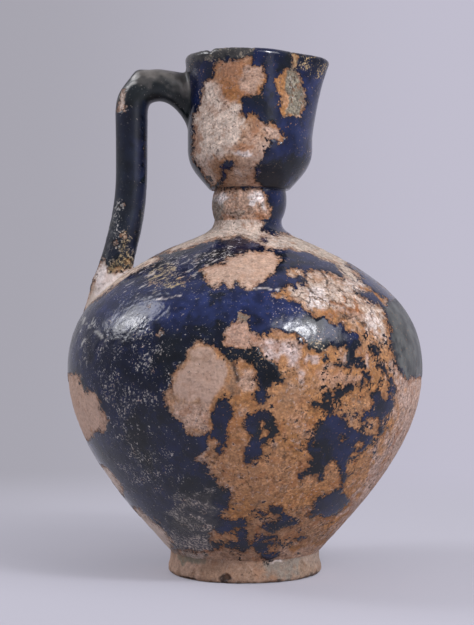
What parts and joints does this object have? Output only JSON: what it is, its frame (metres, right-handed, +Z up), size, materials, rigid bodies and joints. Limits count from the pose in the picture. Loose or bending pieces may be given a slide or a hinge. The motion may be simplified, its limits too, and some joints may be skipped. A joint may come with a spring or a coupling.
{
  "type": "ewer",
  "caption": "Round-bellied glazed ceramic ewer on a ring foot, with a collared neck, a cup mouth pulled to a pouring lip and a kneed handle from cup to shoulder.",
  "frame": {"origin": "centre of the circle that the foot ring stands on", "axes": "+Z up along the body's axis, +X towards the pouring lip, -X towards the handle"},
  "size_m": [0.1434, 0.1434, 0.2094],
  "materials": {
    "glazed_body": "dark cobalt glaze, flaked off in patches to a pale orange body",
    "bare_body": "bare fired body, dry and slightly gritty",
    "luting_slip": "fired slip, dry"
  },
  "bodies": {
    "root": {"foot_ring": "bare_body", "foot_slip": "luting_slip", "lower_body": "glazed_body", "belly_slip": "luting_slip", "upper_body": "glazed_body", "neck_slip": "luting_slip", "neck_collar": "glazed_body", "cup_slip": "luting_slip", "mouth_cup": "glazed_body", "handle": "glazed_body", "handle_cup_slip": "luting_slip", "handle_shoulder_slip": "luting_slip"}
  },
  "joints": []
}
